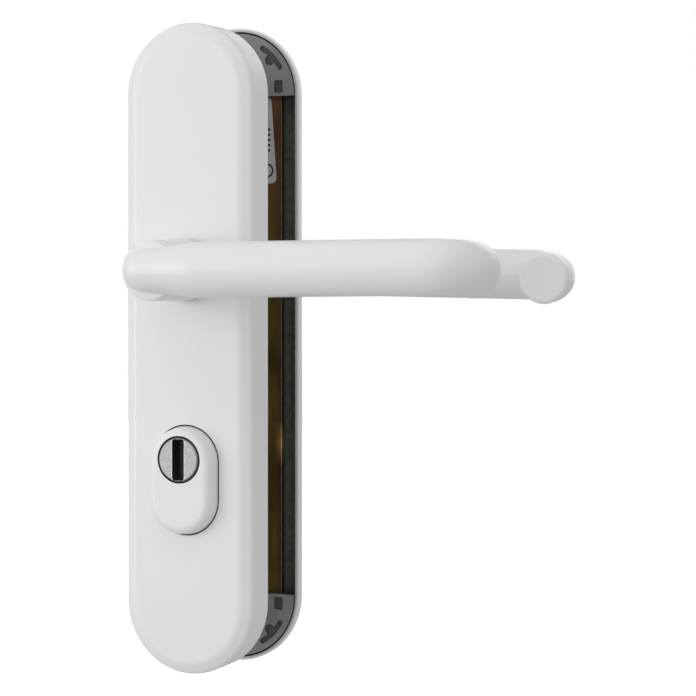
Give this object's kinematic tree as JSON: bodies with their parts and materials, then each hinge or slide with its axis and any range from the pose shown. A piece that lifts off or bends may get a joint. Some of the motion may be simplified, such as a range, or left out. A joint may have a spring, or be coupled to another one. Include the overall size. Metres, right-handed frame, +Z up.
{
  "type": "door lever handle set with cylinder guard",
  "caption": "White long-plate door lever set: two U-shaped levers on a square spindle, plates for both door faces, and a floating guard with a turning key-slot disc over a profile cylinder.",
  "frame": {"origin": "centre of the lock's follower: on the spindle's axis, at the mid-plane of the door", "axes": "+X along the levers, +Y from the outer face of the door to the inner face, +Z up"},
  "size_m": [0.1585, 0.134, 0.254],
  "materials": {
    "white_coat": "smooth semi-gloss white coating",
    "lever_coat": "smooth semi-gloss white coating over cast aluminium",
    "black_plastic": "moulded acetal",
    "grey_plastic": "moulded grey, fine grain",
    "yellow_zinc_steel": "yellow-chromated zinc plate, bronze with green and orange tints",
    "label_film": "blank printed film with one ring mark, no text",
    "hardened_steel": "ground and zinc plated",
    "zinc_steel": "bright zinc plate",
    "dark_steel": "blackened",
    "spring_steel": "drawn wire",
    "sintered_steel": "fine-grained satin",
    "nickel_brass": "satin nickel plate",
    "brass": "turned"
  },
  "bodies": {
    "plates": {"outer_cover": "white_coat", "outer_base_plate": "hardened_steel", "fixing_posts": "zinc_steel", "cover_screws": "zinc_steel", "outer_bush": "black_plastic", "return_spring": "spring_steel", "guard_springs": "spring_steel", "inner_cover": "white_coat", "inner_steel_plate": "yellow_zinc_steel", "inner_block_top": "grey_plastic", "inner_block_bottom": "grey_plastic", "inner_bush": "black_plastic", "through_screws": "zinc_steel", "inner_label": "label_film", "cylinder_body": "nickel_brass", "driver_pins": "brass", "pin_springs": "spring_steel", "chamber_plugs": "brass"},
    "levers": {"outer_lever": "lever_coat", "outer_lever_ring": "grey_plastic", "outer_lever_clip": "dark_steel", "lever_driver": "hardened_steel", "cross_pin": "zinc_steel", "spindle": "zinc_steel", "inner_lever": "lever_coat", "inner_lever_ring": "grey_plastic", "inner_lever_clip": "dark_steel", "lever_grub_screw": "dark_steel"},
    "guard": {"guard_cap": "white_coat", "guard_ring": "dark_steel"},
    "disc": {"guard_disc": "sintered_steel"},
    "outer_plug": {"plug_outer": "nickel_brass", "key_pins_outer": "brass", "plug_clip_outer": "dark_steel"},
    "inner_plug": {"plug_inner": "nickel_brass", "key_pins_inner": "brass", "plug_clip_inner": "dark_steel"},
    "cam": {"cylinder_cam": "sintered_steel"}
  },
  "joints": [
    {"name": "lever_turn", "type": "hinge", "parent": "plates", "child": "levers", "pos_m": [0, 0, 0], "axis": [0, 1, 0], "range_deg": [0, 40], "stiffness_Nm_per_rad": 1.2, "springref_deg": -34.38, "deforming": ["return_spring"]},
    {"name": "guard_float", "type": "slide", "parent": "plates", "child": "guard", "axis": [0, -1, 0], "range_m": [0, 0.003], "stiffness_N_per_m": 300, "springref_m": -0.003, "deforming": ["guard_springs"]},
    {"name": "outer_plug_turn", "type": "hinge", "parent": "plates", "child": "outer_plug", "pos_m": [0, -0.0175, -0.072], "axis": [0, 1, 0], "continuous": true},
    {"name": "disc_turn", "type": "hinge", "parent": "guard", "child": "disc", "pos_m": [0, -0.034, -0.072], "axis": [0, 1, 0], "continuous": true},
    {"name": "cam_turn", "type": "hinge", "parent": "plates", "child": "cam", "pos_m": [0, 0, -0.072], "axis": [0, 1, 0], "continuous": true},
    {"name": "inner_plug_turn", "type": "hinge", "parent": "plates", "child": "inner_plug", "pos_m": [0, 0.016, -0.072], "axis": [0, 1, 0], "continuous": true}
  ],
  "couplings": [
    {"joint": "disc_turn", "follows": "outer_plug_turn", "ratio": 1},
    {"joint": "cam_turn", "follows": "outer_plug_turn", "ratio": 1}
  ]
}
